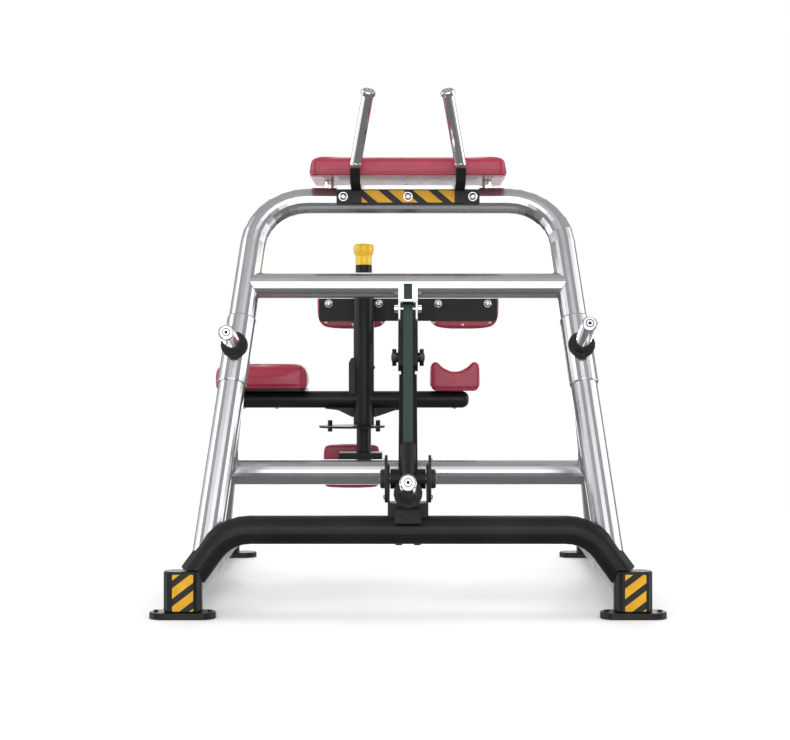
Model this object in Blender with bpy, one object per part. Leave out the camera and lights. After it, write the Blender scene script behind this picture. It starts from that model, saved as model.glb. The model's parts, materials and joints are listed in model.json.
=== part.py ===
"""Hip thrust machine: welded tube frame, thrust lever, weight pendulum and swivelling knee rest."""
import math

import bmesh
import bpy
from mathutils import Vector

# Metres. X is across the machine, +Y runs from the weight horn back to the user, +Z is up.
FRONT_Y = -0.5643        # front face of the front foot plates in the part's frame
GAP = 0.0003             # clearance between pieces that touch
TUBE_R = 0.0365          # arch and rear legs
CROSS_R = 0.0360         # cross tubes
BAR_R = 0.0369           # bent base bar
BAR_Y = 0.050
BAR_Z = 0.2256
BAR_CORNER_X = 0.4716
BAR_SLOPE = math.radians(54.0)
TOP_Z = 1.1186           # arch top bar
TOP_Y = 0.428
TOP_CORNER_X = 0.4200
LEG_FOOT = (0.5229, 0.050, 0.155)
REAR_TOP = (0.4773, 0.2223, 0.590)
REAR_FOOT = (0.5790, 0.7600, 0.095)
RAIL_TOP = 0.1000
THRUST_Y = 0.080         # thrust lever pivot
THRUST_Z = 0.355
LEVER_END_Y = 0.7447
LEVER_END_Z = 0.8460
PENDULUM_Y = 0.285       # weight pendulum pivot
PENDULUM_Z = 0.806
PENDULUM_LEAN = math.radians(31.77)
LINK_REAR = (0.5200, 0.6800)
LINK_FRONT = (0.2495, 0.6727)
POST_X = -0.131          # vertical post of the knee rest
POST_Y = 0.620
ARM_Z = 0.5516
ARM_R = 0.025
SLEEVE_R = 0.0305
HORN_R = 0.0212

BLACK = (0.018, 0.018, 0.020)
SILVER = (0.62, 0.63, 0.65)
CHROME = (0.85, 0.86, 0.88)
RUBBER = (0.012, 0.012, 0.012)
WINE = (0.30, 0.012, 0.045)
YELLOW = (0.85, 0.55, 0.02)


def place(x, y, z):
    """Point given with y counted back from the front foot plates."""
    return Vector((x, y + FRONT_Y, z))


def clear_scene():
    for obj in list(bpy.data.objects):
        bpy.data.objects.remove(obj, do_unlink=True)


def material(name, colour, roughness, metallic):
    mat = bpy.data.materials.new(name)
    mat.use_nodes = True
    shader = mat.node_tree.nodes["Principled BSDF"]
    shader.inputs["Base Color"].default_value = (*colour, 1.0)
    shader.inputs["Roughness"].default_value = roughness
    shader.inputs["Metallic"].default_value = metallic
    return mat


def add_object(name, bm, finish=None, origin=None):
    """Turn a bmesh into an object; with no finish it becomes a hidden cutter."""
    origin = Vector(origin) if origin is not None else Vector((0.0, 0.0, 0.0))
    bmesh.ops.recalc_face_normals(bm, faces=bm.faces)
    bmesh.ops.translate(bm, verts=bm.verts, vec=-origin)
    mesh = bpy.data.meshes.new(name)
    bm.to_mesh(mesh)
    bm.free()
    obj = bpy.data.objects.new(name, mesh)
    obj.location = origin
    bpy.context.collection.objects.link(obj)
    if finish is None:
        obj.hide_render = True
        obj.display_type = "WIRE"
        return obj
    mesh.materials.append(material(name, *finish))
    mesh.shade_smooth()
    mesh.set_sharp_from_angle(angle=math.radians(35.0))
    return obj


def boolean(obj, tool, operation):
    mod = obj.modifiers.new(operation.lower() + "_" + tool.name, "BOOLEAN")
    mod.object = tool
    mod.operation = operation
    mod.solver = "EXACT"
    return obj


def bevel(obj, width, segments):
    mod = obj.modifiers.new("bevel", "BEVEL")
    mod.width = width
    mod.segments = segments
    mod.limit_method = "ANGLE"
    mod.angle_limit = math.radians(50.0)
    return obj


def fillet_path(corners, radius, steps):
    """Polyline through the corners with each inner corner rounded."""
    path = [Vector(corners[0])]
    for before, corner, after in zip(corners, corners[1:], corners[2:]):
        corner = Vector(corner)
        back = (Vector(before) - corner).normalized()
        ahead = (Vector(after) - corner).normalized()
        half = back.angle(ahead) / 2.0
        middle = (back + ahead).normalized()
        centre = corner + middle * (radius / math.sin(half))
        start = corner + back * (radius / math.tan(half)) - centre
        end = corner + ahead * (radius / math.tan(half)) - centre
        for i in range(steps + 1):
            spoke = start.normalized().slerp(end.normalized(), i / steps)
            path.append(centre + spoke * radius)
    path.append(Vector(corners[-1]))
    return path


def ring(bm, centre, side, up, radius, count):
    verts = []
    for i in range(count):
        angle = 2.0 * math.pi * i / count
        offset = side * math.cos(angle) + up * math.sin(angle)
        verts.append(bm.verts.new(centre + offset * radius))
    return verts


def join_rings(bm, first, second):
    count = len(first)
    for i in range(count):
        j = (i + 1) % count
        bm.faces.new((first[i], first[j], second[j], second[i]))


def sweep(path, radius, count=24):
    """Closed round tube along a path."""
    bm = bmesh.new()
    tangent = (path[1] - path[0]).normalized()
    side = tangent.orthogonal().normalized()
    rings = []
    for i, point in enumerate(path):
        ahead = (path[min(i + 1, len(path) - 1)] - point)
        back = (point - path[max(i - 1, 0)])
        new = (ahead.normalized() + back.normalized()).normalized()
        side = (side - new * side.dot(new)).normalized()
        rings.append(ring(bm, point, side, new.cross(side), radius, count))
    for first, second in zip(rings, rings[1:]):
        join_rings(bm, first, second)
    bm.faces.new(rings[0])
    bm.faces.new(rings[-1])
    return bm


def axis_frame(axis):
    axis = Vector(axis).normalized()
    side = axis.orthogonal().normalized()
    return axis, side, axis.cross(side)


def lathe(start, axis, profile, count=18):
    """Turned solid: profile lists (distance along the axis, radius); radius 0 closes to a point."""
    bm = bmesh.new()
    axis, side, up = axis_frame(axis)
    rings = []
    for distance, radius in profile:
        centre = Vector(start) + axis * distance
        if radius == 0.0:
            rings.append([bm.verts.new(centre)])
        else:
            rings.append(ring(bm, centre, side, up, radius, count))
    for first, second in zip(rings, rings[1:]):
        if len(first) == 1:
            for i in range(count):
                bm.faces.new((first[0], second[(i + 1) % count], second[i]))
        elif len(second) == 1:
            for i in range(count):
                bm.faces.new((first[i], first[(i + 1) % count], second[0]))
        else:
            join_rings(bm, first, second)
    for end in (rings[0], rings[-1]):
        if len(end) > 1:
            bm.faces.new(end)
    return bm


def turned_ring(start, axis, loop, count=18):
    """Turned ring with a through hole: loop is a closed list of (distance, radius)."""
    bm = bmesh.new()
    axis, side, up = axis_frame(axis)
    rings = []
    for distance, radius in loop:
        rings.append(ring(bm, Vector(start) + axis * distance, side, up, radius, count))
    for i, first in enumerate(rings):
        join_rings(bm, first, rings[(i + 1) % len(rings)])
    return bm


def prism(outline, low, high):
    """Solid between two copies of an outline; low and high map an outline point to space."""
    bm = bmesh.new()
    bottom = [bm.verts.new(low(u, v)) for u, v in outline]
    top = [bm.verts.new(high(u, v)) for u, v in outline]
    join_rings(bm, bottom, top)
    bm.faces.new(bottom)
    bm.faces.new(top)
    return bm


def prism_x(outline, x_low, x_high):
    """Outline in (y, z), thickness along X."""
    return prism(outline, lambda y, z: place(x_low, y, z), lambda y, z: place(x_high, y, z))


def prism_y(outline, y_low, y_high):
    """Outline in (x, z), thickness along Y."""
    return prism(outline, lambda x, z: place(x, y_low, z), lambda x, z: place(x, y_high, z))


def prism_z(outline, z_low, z_high):
    """Outline in (x, y), thickness along Z."""
    return prism(outline, lambda x, y: place(x, y, z_low), lambda x, y: place(x, y, z_high))


def box(x_low, x_high, y_low, y_high, z_low, z_high):
    outline = [(x_low, y_low), (x_high, y_low), (x_high, y_high), (x_low, y_high)]
    return prism_z(outline, z_low, z_high)


def rounded_rect(cx, cy, width, height, radius, steps=5):
    """Outline of a rectangle with rounded corners."""
    points = []
    for k, (sx, sy) in enumerate(((1, 1), (-1, 1), (-1, -1), (1, -1))):
        px = cx + sx * (width / 2.0 - radius)
        py = cy + sy * (height / 2.0 - radius)
        for i in range(steps + 1):
            angle = math.radians(90.0 * k + 90.0 * i / steps)
            points.append((px + radius * math.cos(angle), py + radius * math.sin(angle)))
    return points


def circle(cx, cy, radius, count=24):
    turn = 2.0 * math.pi / count
    return [(cx + radius * math.cos(turn * i), cy + radius * math.sin(turn * i)) for i in range(count)]


def rod_x(y, z, radius, x_low, x_high, count=24):
    return lathe(place(x_low, y, z), (1, 0, 0), [(0.0, radius), (x_high - x_low, radius)], count)


def mirror(side):
    return -1.0 if side == "left" else 1.0


# Frame paths ------------------------------------------------------------------------------

def bar_path():
    run = 0.115 / math.tan(BAR_SLOPE)
    end_x = BAR_CORNER_X + run
    end_z = BAR_Z - 0.115
    corners = [place(-end_x, BAR_Y, end_z), place(-BAR_CORNER_X, BAR_Y, BAR_Z),
               place(BAR_CORNER_X, BAR_Y, BAR_Z), place(end_x, BAR_Y, end_z)]
    return fillet_path(corners, 0.125, 5)


def arch_path():
    corners = [place(-LEG_FOOT[0], LEG_FOOT[1], LEG_FOOT[2]), place(-TOP_CORNER_X, TOP_Y, TOP_Z),
               place(TOP_CORNER_X, TOP_Y, TOP_Z), place(*LEG_FOOT)]
    return fillet_path(corners, 0.150, 7)


def rear_leg_path(side):
    sign = mirror(side)
    top = place(sign * REAR_TOP[0], REAR_TOP[1], REAR_TOP[2])
    foot = place(sign * REAR_FOOT[0], REAR_FOOT[1], REAR_FOOT[2])
    top += (foot - top).normalized() * 0.003
    return [top, foot]


def leg_point(side, z):
    """Point on an arch leg's axis at height z."""
    share = (z - LEG_FOOT[2]) / (TOP_Z - LEG_FOOT[2])
    x = LEG_FOOT[0] + share * (TOP_CORNER_X - LEG_FOOT[0])
    y = LEG_FOOT[1] + share * (TOP_Y - LEG_FOOT[1])
    return place(mirror(side) * x, y, z)


def cutters():
    grow = 0.0004
    tools = {"bar": add_object("cut_bar", sweep(bar_path(), BAR_R + grow)),
             "arch": add_object("cut_arch", sweep(arch_path(), TUBE_R + grow))}
    for side in ("left", "right"):
        path = rear_leg_path(side)
        ahead = (path[1] - path[0]).normalized()
        long_path = [path[0] - ahead * 0.01, path[1] + ahead * 0.05]
        tools["rear_" + side] = add_object("cut_rear_" + side, sweep(long_path, TUBE_R + grow))
        shell = [leg_point(side, 0.590), leg_point(side, 0.790)]
        tools["sleeve_" + side] = add_object("cut_sleeve_" + side, sweep(shell, TUBE_R + 0.0038))
    tools["floor"] = add_object("cut_floor", box(-0.8, 0.8, 0.5, 1.0, 0.0, RAIL_TOP + GAP))
    return tools


# Frame ------------------------------------------------------------------------------------

def base_frame(tools):
    black = (BLACK, 0.35, 0.0)
    bar = add_object("base_bar", sweep(bar_path(), BAR_R), black)
    for side in ("left", "right"):
        sign = mirror(side)
        hole = add_object("cut_column_" + side,
                          prism_z(rounded_rect(sign * 0.579, 0.036, 0.1008, 0.0608, 0.0286), 0.0, 0.125))
        boolean(bar, hole, "DIFFERENCE")
        plate = prism_z(rounded_rect(sign * 0.580, 0.036, 0.172, 0.072, 0.0355, 6), 0.0, 0.017)
        bevel(add_object("foot_plate_" + side, plate, black), 0.002, 1)
        column = prism_z(rounded_rect(sign * 0.579, 0.036, 0.100, 0.060, 0.0282), 0.0173, 0.122)
        bevel(add_object("foot_column_" + side, column, black), 0.003, 1)
        side_rail(side, tools)
        rear_foot(side)


def side_rail(side, tools):
    sign = mirror(side)
    outline = rounded_rect(0.0, 0.070, 0.060, 0.060, 0.010, 3)
    front = 0.575
    back = 0.604
    bm = prism([(u, v) for u, v in outline],
               lambda u, v: place(sign * front + u, 0.0668, v),
               lambda u, v: place(sign * back + u, 1.334, v))
    boolean(add_object("side_rail_" + side, bm, (BLACK, 0.35, 0.0)), tools["bar"], "DIFFERENCE")


def rear_foot(side):
    sign = mirror(side)
    plate = prism_z(rounded_rect(sign * 0.604, 1.306, 0.172, 0.072, 0.0355, 6), 0.0, 0.017)
    obj = add_object("rear_foot_" + side, plate, (BLACK, 0.4, 0.0))
    stub = add_object("guide_stub_" + side, prism_z(circle(sign * 0.604, 1.303, 0.028, 16), 0.010, 0.0397))
    boolean(obj, stub, "UNION")
    bevel(obj, 0.0015, 1)


def arch(tools):
    silver = (SILVER, 0.28, 0.9)
    obj = add_object("arch_tube", sweep(arch_path(), TUBE_R), silver)
    boolean(obj, tools["bar"], "DIFFERENCE")
    for side in ("left", "right"):
        leg = add_object("rear_leg_" + side, sweep(rear_leg_path(side), TUBE_R), silver)
        boolean(leg, tools["arch"], "DIFFERENCE")
        boolean(leg, tools["floor"], "DIFFERENCE")
        low = leg_point(side, 0.600)
        high = leg_point(side, 0.780)
        length = (high - low).length
        inner = TUBE_R + 0.0007
        loop = [(0.0, inner), (0.0, TUBE_R + 0.0024), (0.003, TUBE_R + 0.0034),
                (length - 0.003, TUBE_R + 0.0034), (length, TUBE_R + 0.0024), (length, inner)]
        collar = add_object("leg_sleeve_" + side, turned_ring(low, high - low, loop, 24), silver)
        boolean(collar, tools["rear_" + side], "DIFFERENCE")


def cross_tubes(tools):
    silver = (SILVER, 0.28, 0.9)
    upper = add_object("upper_cross_tube", rod_x(0.3322, 0.8727, CROSS_R, -0.4437, 0.4437), silver)
    boolean(upper, tools["arch"], "DIFFERENCE")
    share = (0.590 - 0.345) / (0.590 - REAR_FOOT[2])
    x = REAR_TOP[0] + share * (REAR_FOOT[0] - REAR_TOP[0]) - 0.003
    y = REAR_TOP[1] + share * (REAR_FOOT[1] - REAR_TOP[1])
    lower = add_object("lower_cross_tube", rod_x(y, 0.345, CROSS_R, -x, x), silver)
    boolean(lower, tools["rear_left"], "DIFFERENCE")
    boolean(lower, tools["rear_right"], "DIFFERENCE")
    return y


def horn(prefix, suffix, base, tip, boss_start, tool, origin=None):
    """Plate horn with a turned shank and a rubber stop ring at its base."""
    base = Vector(base)
    tip = Vector(tip)
    axis = (tip - base).normalized()
    length = (tip - base).length
    start = base - axis * boss_start
    end = boss_start + length
    profile = [(0.0, 0.026), (boss_start - 0.001, 0.026), (boss_start - 0.001, HORN_R),
               (end - 0.004, HORN_R), (end - 0.001, HORN_R - 0.002), (end, HORN_R - 0.005),
               (end, 0.010), (end - 0.004, 0.007), (end - 0.004, 0.0)]
    shank = add_object(prefix + "_horn" + suffix, lathe(start, axis, profile), (CHROME, 0.12, 1.0), origin)
    if tool is not None:
        boolean(shank, tool, "DIFFERENCE")
    inner = HORN_R + GAP
    loop = [(0.0, inner), (0.0, 0.0355), (0.002, 0.0365), (0.011, 0.0365), (0.013, 0.035),
            (0.013, 0.0262), (0.022, 0.0248), (0.022, inner)]
    ring_mesh = turned_ring(base, axis, loop)
    add_object(prefix + "_collar" + suffix, ring_mesh, (RUBBER, 0.8, 0.0), origin)


def storage_horns(tools):
    for side, rise in (("left", 0.0320), ("right", 0.0555)):
        sign = mirror(side)
        base = place(sign * 0.4672, 0.2160, 0.7045)
        tip = place(sign * 0.4710, 0.0550, 0.7045 + rise)
        horn("storage", "_" + side, base, tip, 0.030, tools["sleeve_" + side])


def handles():
    black = (BLACK, 0.35, 0.0)
    plate = prism_y(rounded_rect(0.0, 1.1240, 0.402, 0.0429, 0.003, 2), 0.3846, 0.3909)
    add_object("handle_plate", plate, black)
    for side in ("left", "right"):
        sign = mirror(side)
        x = sign * 0.145
        centre = [(0.3808, 1.1060), (0.3808, 1.1440), (0.2860, 1.1560), (0.2680, 1.1905)]
        outline = thick_line(centre, 0.006)
        strap = add_object("grip_strap_" + side, prism_x(outline, x - 0.014, x + 0.014), black)
        bevel(strap, 0.0012, 1)
        foot = place(sign * 0.143, 0.2640, 1.1985)
        head = place(sign * 0.1045, 0.1600, 1.3830)
        length = (head - foot).length
        profile = [(0.0, 0.0150), (0.0015, 0.0165), (0.008, 0.0165), (0.009, 0.0158),
                   (length - 0.016, 0.0158), (length - 0.014, 0.0195), (length - 0.004, 0.0205),
                   (length - 0.001, 0.0195), (length, 0.0170), (length, 0.0110),
                   (length - 0.003, 0.0095), (length - 0.003, 0.0)]
        add_object("grip_" + side, lathe(foot, head - foot, profile), (CHROME, 0.12, 1.0))


def thick_line(points, thickness):
    """Outline of a bent flat bar seen edge on."""
    half = thickness / 2.0
    points = [Vector(p) for p in points]
    left = []
    right = []
    for i, point in enumerate(points):
        ahead = (points[min(i + 1, len(points) - 1)] - point)
        back = (point - points[max(i - 1, 0)])
        if ahead.length == 0.0:
            ahead = back
        if back.length == 0.0:
            back = ahead
        ahead = ahead.normalized()
        back = back.normalized()
        middle = (ahead + back).normalized()
        normal = Vector((-middle.y, middle.x))
        reach = half / max(0.3, normal.dot(Vector((-ahead.y, ahead.x))))
        left.append(point + normal * reach)
        right.append(point - normal * reach)
    return [(p.x, p.y) for p in left + right[::-1]]


def forearm_rest(tools):
    plate = add_object("pad_plate", box(-0.200, 0.200, 0.3846, 0.500, 1.1459, 1.1580), (SILVER, 0.35, 0.8))
    boolean(plate, tools["arch"], "DIFFERENCE")
    for side in ("left", "right"):
        x = mirror(side) * 0.2235
        spacer = prism_z(circle(x, TOP_Y, 0.0135, 16), 1.150, 1.1746)
        boolean(add_object("pad_spacer_" + side, spacer, (CHROME, 0.25, 1.0)), tools["arch"], "DIFFERENCE")
    cushion("forearm_pad", (-0.275, 0.275, 0.300, 0.560, 1.1750, 1.2300), 0.015)


def cushion(name, limits, radius, origin=None):
    obj = add_object(name, box(*limits), (WINE, 0.5, 0.0), origin)
    bevel(obj, radius, 3)
    return obj


# Weight pendulum --------------------------------------------------------------------------

def along(distance, offset=0.0):
    """(y, z) on the pendulum: distance down from its pivot, offset towards the back."""
    sin = math.sin(PENDULUM_LEAN)
    cos = math.cos(PENDULUM_LEAN)
    return (PENDULUM_Y - sin * distance + cos * offset, PENDULUM_Z - cos * distance - sin * offset)


def top_clevis():
    outline = [(-0.0265, 0.8250), (0.0265, 0.8250), (0.0265, 0.8800), (-0.0265, 0.8800)]
    body = add_object("top_clevis", prism_y(outline, 0.2560, 0.3322), (SILVER, 0.3, 0.9))
    pocket = add_object("cut_pocket", box(-0.0110, 0.0110, 0.240, 0.290, 0.8320, 0.8730))
    tube = add_object("cut_upper_cross", rod_x(0.3322, 0.8727, CROSS_R + 0.0004, -0.1, 0.1))
    boolean(body, pocket, "DIFFERENCE")
    boolean(body, tube, "DIFFERENCE")
    hole = add_object("cut_clevis_bolt", rod_x(PENDULUM_Y, PENDULUM_Z, 0.0064, -0.05, 0.05, 16))
    for side in ("left", "right"):
        sign = mirror(side)
        x = sorted((sign * 0.0210, sign * 0.0265))
        cheek = [(0.2620, 0.8270), (0.3020, 0.8270), (0.3050, 0.8100), (0.2960, 0.7680),
                 (0.2900, 0.7640), (0.2760, 0.7640), (0.2700, 0.7680)]
        tool = add_object("guide_cheek_" + side, prism_x(cheek, x[0], x[1]))
        boolean(body, tool, "UNION")
    boolean(body, hole, "DIFFERENCE")
    profile = [(0.0, 0.0095), (0.009, 0.0105), (0.0105, 0.0105), (0.0105, 0.006), (0.0645, 0.006),
               (0.0645, 0.0105), (0.066, 0.0105), (0.075, 0.0095)]
    add_object("clevis_bolt", lathe(place(-0.0375, PENDULUM_Y, PENDULUM_Z), (1, 0, 0), profile, 16),
               (CHROME, 0.25, 1.0))
    return hole


def pendulum(bolt_hole):
    pivot = place(0.0, PENDULUM_Y, PENDULUM_Z)
    black = (BLACK, 0.38, 0.0)
    half = 0.0175
    outline = []
    for i in range(9):
        angle = math.pi * i / 8.0
        outline.append(along(-half * math.sin(angle), half * math.cos(angle)))
    outline += [along(0.4268, -half), along(0.4268, half)]
    bar = add_object("pendulum_bar", prism_x(outline, -0.013, 0.013), ((0.03, 0.045, 0.038), 0.4, 0.0), pivot)
    shape = [(0.050, -half), (0.190, -half), (0.190, half), (0.170, 0.030), (0.156, 0.056),
             (0.132, 0.064), (0.108, 0.056), (0.075, half), (0.050, half)]
    cheek = [along(u, v) for u, v in shape]
    for side in ("left", "right"):
        sign = mirror(side)
        x = sorted((sign * 0.0125, sign * 0.0265))
        boolean(bar, add_object("guide_fork_" + side, prism_x(cheek, x[0], x[1])), "UNION")
    boolean(bar, bolt_hole, "DIFFERENCE")
    shaft_hole = add_object("cut_link_shaft", rod_x(LINK_FRONT[0], LINK_FRONT[1], 0.0104, -0.05, 0.05, 16))
    boolean(bar, shaft_hole, "DIFFERENCE")
    pendulum_shaft(pivot)
    pendulum_foot(pivot, black)
    horn("weight", "", place(0.0, -0.0472, 0.3256), place(0.0, -0.2101, 0.3672), 0.0015, None, pivot)


def pendulum_shaft(pivot):
    half = [(0.0455, 0.0070), (0.0440, 0.0105), (0.0430, 0.0115), (0.0430, 0.0225), (0.0420, 0.0235),
            (0.0325, 0.0235), (0.0315, 0.0225), (0.0315, 0.0135), (0.0270, 0.0135), (0.0270, 0.0100)]
    start = 0.0455
    profile = [(start - x, r) for x, r in half] + [(start + x, r) for x, r in half[::-1]]
    bm = lathe(place(-start, LINK_FRONT[0], LINK_FRONT[1]), (1, 0, 0), profile, 16)
    add_object("link_shaft", bm, ((0.05, 0.05, 0.055), 0.3, 0.6), pivot)


def pendulum_foot(pivot, finish):
    y, z = along(0.4271)
    start = place(0.0, y, z)
    end = place(0.0, -0.016, 0.3176)
    length = (end - start).length
    profile = [(0.0, 0.0190), (0.002, 0.0205), (0.030, 0.0205), (length * 0.6, 0.0150), (length, 0.0150)]
    foot = add_object("pendulum_foot", lathe(start, end - start, profile), finish, pivot)
    low = place(0.0, 0.0050, 0.3123)
    high = place(0.0, -0.0450, 0.3250)
    axis = high - low
    hub = lathe(low, axis, [(0.0, 0.0275), (0.002, 0.0290), (axis.length, 0.0290)])
    boolean(foot, add_object("guide_foot_hub", hub), "UNION")


# Thrust lever -----------------------------------------------------------------------------

def yoke(tools):
    black = (BLACK, 0.38, 0.0)
    block = add_object("yoke", box(-0.0525, 0.0525, 0.0330, 0.0960, 0.2400, 0.2960), black)
    wall = [(0.0330, 0.2420), (0.0960, 0.2420), (0.1140, 0.3000)]
    for i in range(9):
        angle = math.radians(-20.0 + 220.0 * i / 8.0)
        wall.append((THRUST_Y + 0.040 * math.cos(angle), THRUST_Z + 0.040 * math.sin(angle)))
    wall.append((0.0330, 0.3000))
    for side in ("left", "right"):
        sign = mirror(side)
        x = sorted((sign * 0.0475, sign * 0.0525))
        boolean(block, add_object("guide_wall_" + side, prism_x(wall, x[0], x[1])), "UNION")
    boolean(block, tools["bar"], "DIFFERENCE")
    bore = add_object("cut_pivot", rod_x(THRUST_Y, THRUST_Z, 0.0104, -0.1, 0.1, 20))
    boolean(block, bore, "DIFFERENCE")
    for side in ("left", "right"):
        bearing(side, bore)
    stop = add_object("bump_stop", box(-0.034, 0.034, -0.006, 0.0325, 0.2470, 0.2820), (RUBBER, 0.75, 0.0))
    boolean(stop, tools["bar"], "DIFFERENCE")


def bearing(side, bore):
    sign = mirror(side)
    outline = []
    for i in range(28):
        angle = 2.0 * math.pi * i / 28
        stretch = 0.0300 if abs(math.sin(angle)) < 0.8 else 0.0260
        outline.append((THRUST_Y + stretch * math.cos(angle), THRUST_Z + 0.0620 * math.sin(angle)))
    x = sorted((sign * 0.0530, sign * 0.0605))
    flange = add_object("pivot_bearing_" + side, prism_x(outline, x[0], x[1]), ((0.03, 0.03, 0.032), 0.45, 0.3))
    profile = [(0.0, 0.0250), (0.009, 0.0250), (0.0125, 0.0215)]
    boss = lathe(place(sign * 0.0600, THRUST_Y, THRUST_Z), (sign, 0, 0), profile, 20)
    boolean(flange, add_object("guide_boss_" + side, boss), "UNION")
    boolean(flange, bore, "DIFFERENCE")


def lever_line(distance, offset=0.0):
    """(y, z) on the thrust lever: distance from its pivot, offset towards its upper face."""
    lean = math.atan2(LEVER_END_Z - THRUST_Z, LEVER_END_Y - THRUST_Y)
    sin = math.sin(lean)
    cos = math.cos(lean)
    return (THRUST_Y + cos * distance - sin * offset, THRUST_Z + sin * distance + cos * offset)


def thrust_lever():
    pivot = place(0.0, THRUST_Y, THRUST_Z)
    black = (BLACK, 0.35, 0.0)
    beam = [lever_line(0.0, -0.025), lever_line(0.422, -0.025), lever_line(0.430, -0.020),
            lever_line(0.430, 0.020), lever_line(0.422, 0.025), lever_line(0.0, 0.025)]
    lever = add_object("thrust_lever", prism_x(beam, -0.025, 0.025), black, pivot)
    rise = (LEVER_END_Z - THRUST_Z) / (LEVER_END_Y - THRUST_Y)
    half = 0.020 * math.sqrt(1.0 + rise * rise)
    neck = [lever_line(0.40, -0.020), (LEVER_END_Y, LEVER_END_Z - half),
            (LEVER_END_Y, LEVER_END_Z + half), lever_line(0.40, 0.020)]
    boolean(lever, add_object("guide_neck", prism_x(neck, -0.020, 0.020)), "UNION")
    boolean(lever, add_object("guide_hub", rod_x(THRUST_Y, THRUST_Z, 0.026, -0.046, 0.046)), "UNION")
    boolean(lever, add_object("cut_hub", rod_x(THRUST_Y, THRUST_Z, 0.0104, -0.1, 0.1, 20)), "DIFFERENCE")
    pin_hole = rod_x(LINK_REAR[0], LINK_REAR[1], 0.0064, -0.1, 0.1, 16)
    pin_cut = add_object("cut_link_pin", pin_hole)
    boolean(lever, pin_cut, "DIFFERENCE")
    ends = [(0.0, 0.0080), (0.0015, 0.0100), (0.1455, 0.0100), (0.147, 0.0080)]
    add_object("pivot_shaft", lathe(place(-0.0735, THRUST_Y, THRUST_Z), (1, 0, 0), ends, 20),
               ((0.45, 0.46, 0.48), 0.25, 1.0), pivot)
    profile = [(0.0, 0.0090), (0.0055, 0.0100), (0.0055, 0.0060), (0.0665, 0.0060), (0.0665, 0.0100),
               (0.072, 0.0090)]
    add_object("link_pin", lathe(place(-0.036, *LINK_REAR), (1, 0, 0), profile, 16),
               (CHROME, 0.25, 1.0), pivot)
    outline = rounded_rect(0.0, 0.8440, 0.543, 0.112, 0.006, 2)
    add_object("hip_plate", prism_y(outline, 0.7450, 0.7510), black, pivot)
    for side in ("left", "right"):
        x = mirror(side) * 0.170
        cushion("hip_pad_" + side, (x - 0.10825, x + 0.10825, 0.7513, 0.8113, 0.7650, 0.9250), 0.016, pivot)
    return pin_cut


def push_link(pin_cut):
    rear = place(0.0, *LINK_REAR)
    y0, z0 = LINK_FRONT
    y1, z1 = LINK_REAR
    bar = [(y0, z0 - 0.012), (0.450, z1 - 0.012), (0.450, z1 + 0.012), (y0, z0 + 0.012)]
    link = add_object("push_link", prism_x(bar, -0.0105, 0.0105), (BLACK, 0.4, 0.0), rear)
    eye = add_object("guide_eye", rod_x(y0, z0, 0.0200, -0.0105, 0.0105, 20))
    boolean(link, eye, "UNION")
    block = add_object("guide_block", box(-0.0290, 0.0290, 0.4330, 0.4520, z1 - 0.015, z1 + 0.015))
    boolean(link, block, "UNION")
    fork = [(0.4350, z1 - 0.0145)]
    for i in range(9):
        angle = math.radians(-90.0 + 180.0 * i / 8.0)
        fork.append((y1 + 0.0145 * math.cos(angle), z1 + 0.0145 * math.sin(angle)))
    fork.append((0.4350, z1 + 0.0145))
    for side in ("left", "right"):
        sign = mirror(side)
        x = sorted((sign * 0.0215, sign * 0.0288))
        boolean(link, add_object("guide_link_fork_" + side, prism_x(fork, x[0], x[1])), "UNION")
    boolean(link, pin_cut, "DIFFERENCE")
    slot = add_object("cut_eye", rod_x(y0, z0, 0.0135, -0.05, 0.05, 20))
    boolean(link, slot, "DIFFERENCE")


# Knee rest --------------------------------------------------------------------------------

def carrier(cross_y):
    black = (BLACK, 0.38, 0.0)
    beam = add_object("carrier_beam", box(-0.157, -0.105, cross_y, 0.7000, 0.3240, 0.3720), black)
    plate = add_object("guide_base_plate", box(-0.2034, -0.0759, 0.575, 0.665, 0.3700, 0.3950))
    boolean(beam, plate, "UNION")
    boolean(beam, add_object("cut_lower_cross", rod_x(cross_y, 0.345, CROSS_R + 0.0004, -0.5, 0.5)), "DIFFERENCE")
    board = prism_y(rounded_rect(-0.171, 0.3315, 0.152, 0.068, 0.008, 2), 0.7003, 0.7063)
    add_object("shin_board", board, black)
    cushion("shin_pad", (-0.2575, -0.0845, 0.7066, 0.7666, 0.2808, 0.4142), 0.016)


def post():
    black = (BLACK, 0.35, 0.0)
    low = place(POST_X, POST_Y, 0.3953)
    top = 0.9490 - 0.3953
    step = 0.8755 - 0.3953
    profile = [(0.0, 0.0215), (step, 0.0215), (step, 0.0245), (top, 0.0245), (top, 0.0086),
               (top - 0.045, 0.0086), (top - 0.045, 0.0)]
    add_object("swivel_post", lathe(low, (0, 0, 1), profile), black)
    disc = add_object("sector_plate", prism_z(circle(-0.166, POST_Y, 0.0975, 28), 0.4680, 0.4740), (BLACK, 0.4, 0.0))
    for name, x in (("a", -0.231), ("b", -0.089)):
        tool = add_object("guide_stop_" + name, prism_z(circle(x, POST_Y, 0.0068, 12), 0.4560, 0.4900))
        boolean(disc, tool, "UNION")
    hole = add_object("cut_post_hole", prism_z(circle(POST_X, POST_Y, 0.0218), 0.40, 0.50))
    boolean(disc, hole, "DIFFERENCE")
    stem = place(POST_X, POST_Y, 0.9090)
    profile = [(0.0, 0.0), (0.0, 0.0082), (0.0403, 0.0082), (0.0403, 0.0235), (0.046, 0.0245),
               (0.066, 0.0250), (0.076, 0.0290), (0.084, 0.0310), (0.096, 0.0310), (0.102, 0.0280),
               (0.1045, 0.0200), (0.1045, 0.0)]
    add_object("lock_knob", lathe(stem, (0, 0, 1), profile), (YELLOW, 0.3, 0.0), stem)


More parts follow.
